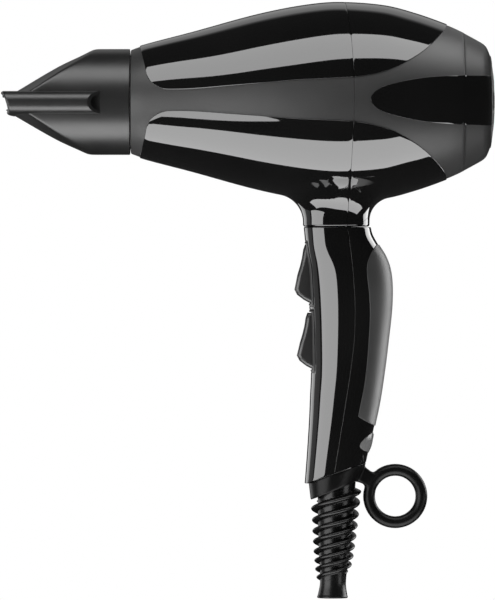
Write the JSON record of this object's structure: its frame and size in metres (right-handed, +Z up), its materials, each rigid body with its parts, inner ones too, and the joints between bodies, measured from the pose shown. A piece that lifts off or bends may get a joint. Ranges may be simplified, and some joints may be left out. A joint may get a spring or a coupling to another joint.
{
  "type": "hair dryer",
  "caption": "Hand-held hair dryer with a barrel over a pistol handle, turning push-on concentrator nozzle, two rocker switches, cool-shot button, removable rear cap and hanging loop.",
  "frame": {"origin": "middle of the hand grip, straight below the barrel's axis and in the plane of symmetry", "axes": "+Z up along the handle to the barrel, -X the way the air leaves, +Y across the barrel"},
  "size_m": [0.2469, 0.0996, 0.2978],
  "materials": {
    "gloss_black": "polished black",
    "satin_black": "fine satin",
    "nozzle_black": "satin, heat resistant",
    "grip_grey": "soft-touch matte",
    "rubber_black": "satin rubber",
    "button_grey": "satin",
    "switch_black": "matte",
    "duct_grey": "matte",
    "fan_white": "matte",
    "mica": "laminated mica sheet",
    "heater_wire": "oxidised resistance wire",
    "steel": "plain",
    "lead_red": "insulation",
    "lead_blue": "insulation"
  },
  "bodies": {
    "housing": {"front_shell": "satin_black", "rear_shell": "satin_black", "upper_front_panel": "gloss_black", "upper_rear_panel": "gloss_black", "lower_front_panel": "gloss_black", "lower_rear_panel": "gloss_black", "left_tongue": "gloss_black", "right_tongue": "gloss_black", "shell_screw_1": "steel", "shell_screw_2": "steel", "front_duct": "duct_grey", "outlet_grille": "duct_grey", "mica_tube": "mica", "mica_board_level": "mica", "mica_board_upright": "mica", "heater_coil_a": "heater_wire", "heater_coil_b": "heater_wire", "thermostat": "steel", "thermal_fuse": "steel", "fan_duct": "duct_grey", "motor_can": "steel", "motor_end_cap": "switch_black", "handle_front_half": "gloss_black", "handle_rear_half": "gloss_black", "handle_screw": "steel", "cord_clamp": "switch_black", "clamp_screw_1": "steel", "clamp_screw_2": "steel", "grip_pad": "grip_grey", "cool_shot_spring": "steel", "cool_shot_switch": "switch_black", "upper_switch_bezel": "satin_black", "lower_switch_bezel": "satin_black", "speed_switch": "switch_black", "heat_switch": "switch_black", "suppressor_capacitor": "duct_grey", "live_lead": "lead_red", "neutral_lead": "lead_blue", "heater_live_lead": "lead_red", "heater_neutral_lead": "lead_blue", "hang_loop": "rubber_black", "strain_relief": "rubber_black"},
    "nozzle_ring": {"nozzle_snap_ring": "duct_grey"},
    "nozzle": {"nozzle_shell": "nozzle_black"},
    "fan": {"impeller": "fan_white", "motor_shaft": "steel"},
    "speed_rocker": {"speed_rocker": "switch_black"},
    "heat_rocker": {"heat_rocker": "switch_black"},
    "cool_shot_button": {"cool_shot_button": "button_grey"},
    "rear_cap": {"rear_cap": "satin_black", "rear_grille": "satin_black", "filter_mesh": "steel", "left_cap_tongue": "gloss_black", "right_cap_tongue": "gloss_black"}
  },
  "joints": [
    {"name": "nozzle_pull", "type": "slide", "parent": "housing", "child": "nozzle_ring", "axis": [-1, 0, 0], "range_m": [0, 0.035]},
    {"name": "nozzle_turn", "type": "hinge", "parent": "nozzle_ring", "child": "nozzle", "pos_m": [-0.118, 0, 0.11], "axis": [-1, 0, 0], "continuous": true},
    {"name": "rear_cap_pull", "type": "slide", "parent": "housing", "child": "rear_cap", "axis": [1, 0, 0], "range_m": [0, 0.03]},
    {"name": "fan_spin", "type": "hinge", "parent": "housing", "child": "fan", "pos_m": [0.03, 0, 0.11], "axis": [1, 0, 0], "continuous": true},
    {"name": "speed_rocker_tilt", "type": "hinge", "parent": "housing", "child": "speed_rocker", "pos_m": [-0.0175, 0, 0.0236], "axis": [0, -1, 0], "range_deg": [0, 16]},
    {"name": "heat_rocker_tilt", "type": "hinge", "parent": "housing", "child": "heat_rocker", "pos_m": [-0.0163, 0, -0.0105], "axis": [0, -1, 0], "range_deg": [0, 16]},
    {"name": "cool_shot_press", "type": "slide", "parent": "housing", "child": "cool_shot_button", "axis": [-0.9703, 0, 0.2419], "range_m": [0, 0.0015], "stiffness_N_per_m": 400, "springref_m": -0.0005, "deforming": ["cool_shot_spring"]}
  ]
}
